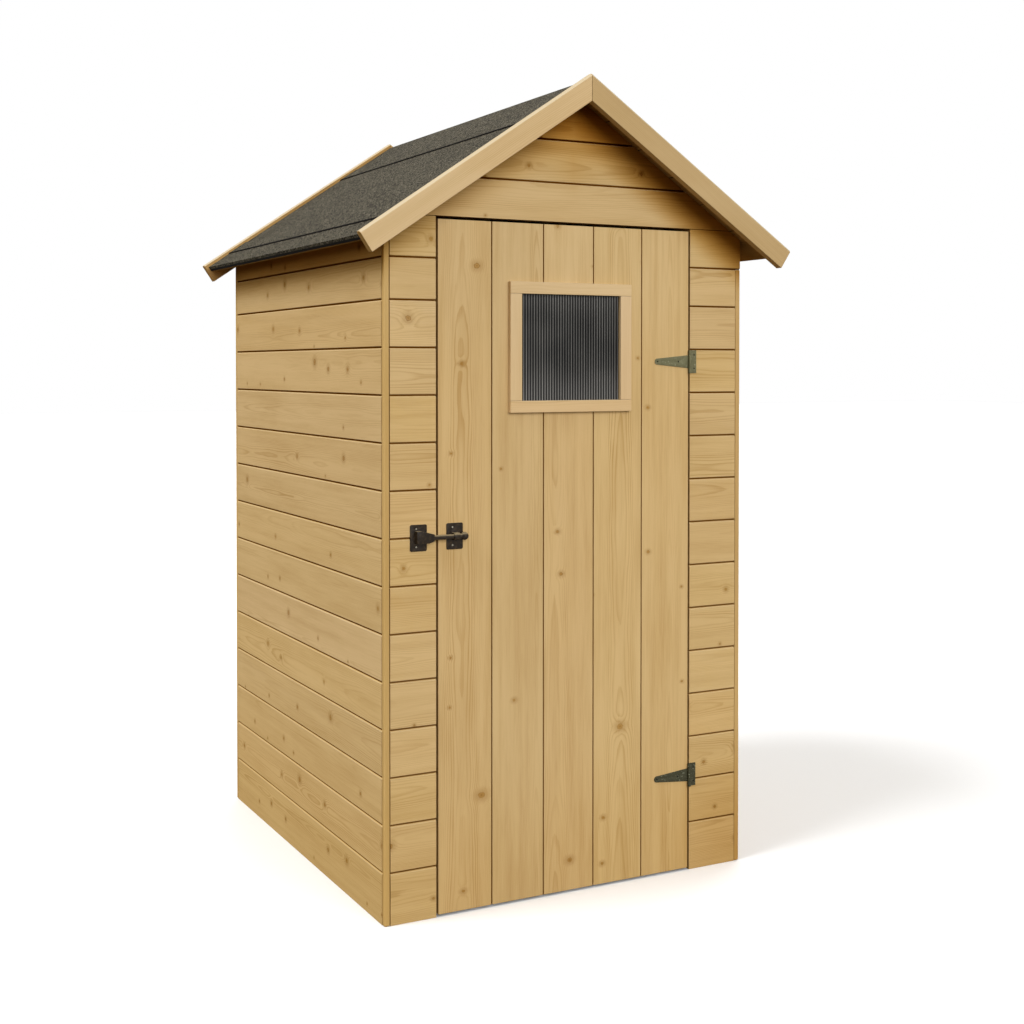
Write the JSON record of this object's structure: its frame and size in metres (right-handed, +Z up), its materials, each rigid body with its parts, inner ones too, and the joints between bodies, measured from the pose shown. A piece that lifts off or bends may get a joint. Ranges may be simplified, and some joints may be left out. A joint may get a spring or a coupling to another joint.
{
  "type": "outhouse",
  "caption": "Small gabled outhouse of pine boards with a felted roof and a boarded door with a small window, hung on two strap hinges.",
  "frame": {"origin": "on the ground, under the middle of the building's overall box", "axes": "+Z up, -Y out of the front with the door, +X to the right as seen from the front"},
  "size_m": [1.2428, 1.317, 2.0804],
  "materials": {
    "wall_boards": "planed, unpainted",
    "battens": "planed, unpainted",
    "roof_boards": "planed, unpainted",
    "roofing_felt": "mineral surfaced bitumen felt",
    "zinc": "yellow zinc plated",
    "black_iron": "satin black",
    "pane": "ribbed twin-wall sheet"
  },
  "bodies": {
    "building": {"front_left_panel": "wall_boards", "front_right_panel": "wall_boards", "front_gable": "wall_boards", "left_wall": "wall_boards", "right_wall": "wall_boards", "rear_wall": "wall_boards", "corner_strip_front_left": "wall_boards", "corner_strip_front_right": "wall_boards", "corner_strip_rear_left": "wall_boards", "corner_strip_rear_right": "wall_boards", "bargeboard_front_left": "wall_boards", "bargeboard_front_right": "wall_boards", "bargeboard_rear_left": "wall_boards", "bargeboard_rear_right": "wall_boards", "corner_posts": "battens", "door_posts": "battens", "head_rail": "battens", "wall_studs": "battens", "sill_battens": "battens", "wall_plates": "battens", "gable_post": "battens", "ridge_beam": "battens", "roof_boards_left": "roof_boards", "roof_boards_right": "roof_boards", "felt_eave_left": "roofing_felt", "felt_eave_right": "roofing_felt", "felt_course_left": "roofing_felt", "felt_course_right": "roofing_felt", "felt_ridge": "roofing_felt", "hinge_plate_upper": "zinc", "hinge_plate_lower": "zinc", "latch_keeper": "black_iron"},
    "door": {"door_boards": "wall_boards", "door_stiles": "battens", "door_rails": "battens", "window_frame": "wall_boards", "window_pane": "pane", "window_beads": "battens", "hinge_strap_upper": "zinc", "hinge_strap_lower": "zinc", "latch_plate": "black_iron", "latch_bar": "black_iron"}
  },
  "joints": [
    {"name": "door_hinge", "type": "hinge", "parent": "building", "child": "door", "pos_m": [0.3565, -0.5684, 0.8], "axis": [0, 0, 1], "range_deg": [0, 110]}
  ]
}
